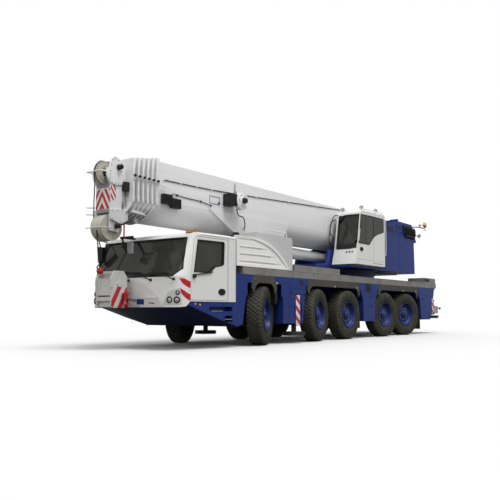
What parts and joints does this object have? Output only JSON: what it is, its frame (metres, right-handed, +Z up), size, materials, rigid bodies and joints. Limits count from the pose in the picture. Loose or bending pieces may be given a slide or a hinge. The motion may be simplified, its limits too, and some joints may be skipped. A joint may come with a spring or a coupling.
{
  "type": "mobile crane",
  "caption": "All-terrain mobile crane with a blue chassis, white cabs, a white telescopic boom and sliding outriggers.",
  "frame": {"origin": "centre of the footprint on the ground, at mid length", "axes": "+X forward, +Y to the crane's left, +Z up"},
  "size_m": [15.097, 3.1308, 3.98],
  "materials": {
    "blue_paint": "semi-gloss chassis paint",
    "white_paint": "gloss cab and boom paint",
    "grey_deck": "bare chequered aluminium",
    "dark_grey": "matte mudguard plastic",
    "black_trim": "matte black plastic",
    "tinted_glass": "dark tinted glass",
    "tyre_rubber": "worn tyre rubber",
    "dark_steel": "dark painted castings",
    "chrome_rod": "ground and chromed rod",
    "red_paint": "gloss red paint"
  },
  "bodies": {
    "carrier": {"chassis_frame": "blue_paint", "deck": "grey_deck", "mudguards": "dark_grey", "cab_shell": "white_paint", "cab_glazing": "tinted_glass", "cab_trim": "black_trim", "deck_housings": "white_paint", "driveline": "dark_steel"},
    "door_left": {"cab_door_left": "white_paint"},
    "door_right": {"cab_door_right": "white_paint"},
    "superstructure": {"turntable": "blue_paint", "crane_cab": "white_paint", "crane_cab_glazing": "tinted_glass", "crane_cab_trim": "black_trim"},
    "barrel": {"luffing_barrel": "white_paint"},
    "rod": {"luffing_rod": "chrome_rod"},
    "boom": {"boom_base": "white_paint"},
    "hook": {"hook_line": "red_paint"},
    "wheel_1L": {"tyre_1L": "tyre_rubber", "rim_1L": "blue_paint"},
    "knuckle_1L": {"knuckle_1L": "dark_steel"},
    "wheel_1R": {"tyre_1R": "tyre_rubber", "rim_1R": "blue_paint"},
    "knuckle_1R": {"knuckle_1R": "dark_steel"},
    "wheel_2L": {"tyre_2L": "tyre_rubber", "rim_2L": "blue_paint"},
    "knuckle_2L": {"knuckle_2L": "dark_steel"},
    "wheel_2R": {"tyre_2R": "tyre_rubber", "rim_2R": "blue_paint"},
    "knuckle_2R": {"knuckle_2R": "dark_steel"},
    "wheel_3L": {"tyre_3L": "tyre_rubber", "rim_3L": "blue_paint"},
    "wheel_3R": {"tyre_3R": "tyre_rubber", "rim_3R": "blue_paint"},
    "wheel_4L": {"tyre_4L": "tyre_rubber", "rim_4L": "blue_paint"},
    "knuckle_4L": {"knuckle_4L": "dark_steel"},
    "wheel_4R": {"tyre_4R": "tyre_rubber", "rim_4R": "blue_paint"},
    "knuckle_4R": {"knuckle_4R": "dark_steel"},
    "wheel_5L": {"tyre_5L": "tyre_rubber", "rim_5L": "blue_paint"},
    "knuckle_5L": {"knuckle_5L": "dark_steel"},
    "wheel_5R": {"tyre_5R": "tyre_rubber", "rim_5R": "blue_paint"},
    "knuckle_5R": {"knuckle_5R": "dark_steel"},
    "outrigger_beam_FL": {"outrigger_beam_FL": "blue_paint"},
    "outrigger_jack_FL": {"outrigger_jack_FL": "dark_steel"},
    "outrigger_beam_FR": {"outrigger_beam_FR": "blue_paint"},
    "outrigger_jack_FR": {"outrigger_jack_FR": "dark_steel"},
    "outrigger_beam_RL": {"outrigger_beam_RL": "blue_paint"},
    "outrigger_jack_RL": {"outrigger_jack_RL": "dark_steel"},
    "outrigger_beam_RR": {"outrigger_beam_RR": "blue_paint"},
    "outrigger_jack_RR": {"outrigger_jack_RR": "dark_steel"},
    "boom_part_2": {"boom_section_2": "white_paint"},
    "boom_part_3": {"boom_section_3": "white_paint"},
    "boom_part_4": {"boom_section_4": "white_paint"},
    "boom_part_5": {"boom_section_5": "white_paint"},
    "boom_part_6": {"boom_section_6": "white_paint"},
    "boom_part_7": {"boom_section_7": "white_paint"}
  },
  "joints": [
    {"name": "spin_1L", "type": "hinge", "parent": "knuckle_1L", "child": "wheel_1L", "pos_m": [3.52959, 1.16511, 0.685], "axis": [-0.3746, 0.9272, 0], "continuous": true},
    {"name": "spin_1R", "type": "hinge", "parent": "knuckle_1R", "child": "wheel_1R", "pos_m": [3.70341, -1.16511, 0.685], "axis": [-0.3746, 0.9272, 0], "continuous": true},
    {"name": "spin_2L", "type": "hinge", "parent": "knuckle_2L", "child": "wheel_2L", "pos_m": [1.10223, 1.17774, 0.685], "axis": [-0.1908, 0.9816, 0], "continuous": true},
    {"name": "spin_2R", "type": "hinge", "parent": "knuckle_2R", "child": "wheel_2R", "pos_m": [1.19077, -1.17774, 0.685], "axis": [-0.1908, 0.9816, 0], "continuous": true},
    {"name": "spin_3L", "type": "hinge", "parent": "carrier", "child": "wheel_3L", "pos_m": [-0.5035, 1.182, 0.685], "axis": [0, 1, 0], "continuous": true},
    {"name": "spin_3R", "type": "hinge", "parent": "carrier", "child": "wheel_3R", "pos_m": [-0.5035, -1.182, 0.685], "axis": [0, 1, 0], "continuous": true},
    {"name": "spin_4L", "type": "hinge", "parent": "knuckle_4L", "child": "wheel_4L", "pos_m": [-2.93121, 1.17974, 0.685], "axis": [0.1392, 0.9903, 0], "continuous": true},
    {"name": "spin_4R", "type": "hinge", "parent": "knuckle_4R", "child": "wheel_4R", "pos_m": [-2.99579, -1.17974, 0.685], "axis": [0.1392, 0.9903, 0], "continuous": true},
    {"name": "spin_5L", "type": "hinge", "parent": "knuckle_5L", "child": "wheel_5L", "pos_m": [-4.56345, 1.17409, 0.685], "axis": [0.2588, 0.9659, 0], "continuous": true},
    {"name": "spin_5R", "type": "hinge", "parent": "knuckle_5R", "child": "wheel_5R", "pos_m": [-4.68355, -1.17409, 0.685], "axis": [0.2588, 0.9659, 0], "continuous": true},
    {"name": "steer_1L", "type": "hinge", "parent": "carrier", "child": "knuckle_1L", "pos_m": [3.6165, 0.95, 0.685], "axis": [0, 0, 1], "range_deg": [-57, 13]},
    {"name": "steer_1R", "type": "hinge", "parent": "carrier", "child": "knuckle_1R", "pos_m": [3.6165, -0.95, 0.685], "axis": [0, 0, 1], "range_deg": [-57.5, 13.5]},
    {"name": "steer_2L", "type": "hinge", "parent": "carrier", "child": "knuckle_2L", "pos_m": [1.1465, 0.95, 0.685], "axis": [0, 0, 1], "range_deg": [-29, 7]},
    {"name": "steer_2R", "type": "hinge", "parent": "carrier", "child": "knuckle_2R", "pos_m": [1.1465, -0.95, 0.685], "axis": [0, 0, 1], "range_deg": [-29, 7]},
    {"name": "steer_5L", "type": "hinge", "parent": "carrier", "child": "knuckle_5L", "pos_m": [-4.6235, 0.95, 0.685], "axis": [0, 0, 1], "range_deg": [-15, 45]},
    {"name": "steer_5R", "type": "hinge", "parent": "carrier", "child": "knuckle_5R", "pos_m": [-4.6235, -0.95, 0.685], "axis": [0, 0, 1], "range_deg": [-15.5, 45.5]},
    {"name": "steer_4L", "type": "hinge", "parent": "carrier", "child": "knuckle_4L", "pos_m": [-2.9635, 0.95, 0.685], "axis": [0, 0, 1], "range_deg": [-8.5, 24.49]},
    {"name": "steer_4R", "type": "hinge", "parent": "carrier", "child": "knuckle_4R", "pos_m": [-2.9635, -0.95, 0.685], "axis": [0, 0, 1], "range_deg": [-8.5, 24.49]},
    {"name": "door_left_hinge", "type": "hinge", "parent": "carrier", "child": "door_left", "pos_m": [6.1765, 1.379, 1.65], "axis": [0, 0, -1], "range_deg": [0, 70]},
    {"name": "door_right_hinge", "type": "hinge", "parent": "carrier", "child": "door_right", "pos_m": [6.1765, -1.379, 1.65], "axis": [0, 0, 1], "range_deg": [0, 70]},
    {"name": "beam_slide_FL", "type": "slide", "parent": "carrier", "child": "outrigger_beam_FL", "axis": [0, 1, 0], "range_m": [0, 1.9]},
    {"name": "jack_slide_FL", "type": "slide", "parent": "outrigger_beam_FL", "child": "outrigger_jack_FL", "axis": [0, 0, -1], "range_m": [0, 0.6]},
    {"name": "beam_slide_FR", "type": "slide", "parent": "carrier", "child": "outrigger_beam_FR", "axis": [0, -1, 0], "range_m": [0, 1.9]},
    {"name": "jack_slide_FR", "type": "slide", "parent": "outrigger_beam_FR", "child": "outrigger_jack_FR", "axis": [0, 0, -1], "range_m": [0, 0.6]},
    {"name": "beam_slide_RL", "type": "slide", "parent": "carrier", "child": "outrigger_beam_RL", "axis": [0, 1, 0], "range_m": [0, 1.9]},
    {"name": "jack_slide_RL", "type": "slide", "parent": "outrigger_beam_RL", "child": "outrigger_jack_RL", "axis": [0, 0, -1], "range_m": [0, 0.6]},
    {"name": "beam_slide_RR", "type": "slide", "parent": "carrier", "child": "outrigger_beam_RR", "axis": [0, -1, 0], "range_m": [0, 1.9]},
    {"name": "jack_slide_RR", "type": "slide", "parent": "outrigger_beam_RR", "child": "outrigger_jack_RR", "axis": [0, 0, -1], "range_m": [0, 0.6]},
    {"name": "slew", "type": "hinge", "parent": "carrier", "child": "superstructure", "pos_m": [-2.7035, 0, 1.88515], "axis": [0, 0, 1], "continuous": true},
    {"name": "luff", "type": "hinge", "parent": "superstructure", "child": "boom", "pos_m": [-4.9035, 0, 3.25], "axis": [0, -1, 0], "range_deg": [0, 82]},
    {"name": "barrel_swing", "type": "hinge", "parent": "superstructure", "child": "barrel", "pos_m": [-2.2035, 0, 2.38], "axis": [0, -1, 0], "range_deg": [-0.5, 96.83]},
    {"name": "rod_slide", "type": "slide", "parent": "barrel", "child": "rod", "axis": [0.9999, 0, 0.0171], "range_m": [-0.005, 3.46332]},
    {"name": "telescope_2", "type": "slide", "parent": "boom", "child": "boom_part_2", "axis": [1, 0, 0], "range_m": [0, 9.4]},
    {"name": "telescope_3", "type": "slide", "parent": "boom_part_2", "child": "boom_part_3", "axis": [1, 0, 0], "range_m": [-0.005, 9.41]},
    {"name": "telescope_4", "type": "slide", "parent": "boom_part_3", "child": "boom_part_4", "axis": [1, 0, 0], "range_m": [-0.005, 9.41]},
    {"name": "telescope_5", "type": "slide", "parent": "boom_part_4", "child": "boom_part_5", "axis": [1, 0, 0], "range_m": [-0.005, 9.41]},
    {"name": "telescope_6", "type": "slide", "parent": "boom_part_5", "child": "boom_part_6", "axis": [1, 0, 0], "range_m": [-0.005, 9.41]},
    {"name": "telescope_7", "type": "slide", "parent": "boom_part_6", "child": "boom_part_7", "axis": [1, 0, 0], "range_m": [-0.005, 9.41]},
    {"name": "hook_swing", "type": "hinge", "parent": "boom_part_7", "child": "hook", "pos_m": [6.9265, 0, 2.45], "axis": [0, -1, 0], "range_deg": [-82.5, 0.5]}
  ],
  "couplings": [
    {"joint": "steer_1R", "follows": "steer_1L", "ratio": 1},
    {"joint": "steer_2L", "follows": "steer_1L", "ratio": 0.5},
    {"joint": "steer_2R", "follows": "steer_1L", "ratio": 0.5},
    {"joint": "steer_5R", "follows": "steer_5L", "ratio": 1},
    {"joint": "steer_4L", "follows": "steer_5L", "ratio": 0.533},
    {"joint": "steer_4R", "follows": "steer_5L", "ratio": 0.533},
    {"joint": "barrel_swing", "follows": "luff", "ratio": 1.1748},
    {"joint": "rod_slide", "follows": "luff", "m_per_rad": 2.4129},
    {"joint": "telescope_3", "follows": "telescope_2", "ratio": 1},
    {"joint": "telescope_4", "follows": "telescope_2", "ratio": 1},
    {"joint": "telescope_5", "follows": "telescope_2", "ratio": 1},
    {"joint": "telescope_6", "follows": "telescope_2", "ratio": 1},
    {"joint": "telescope_7", "follows": "telescope_2", "ratio": 1},
    {"joint": "hook_swing", "follows": "luff", "ratio": -1}
  ]
}
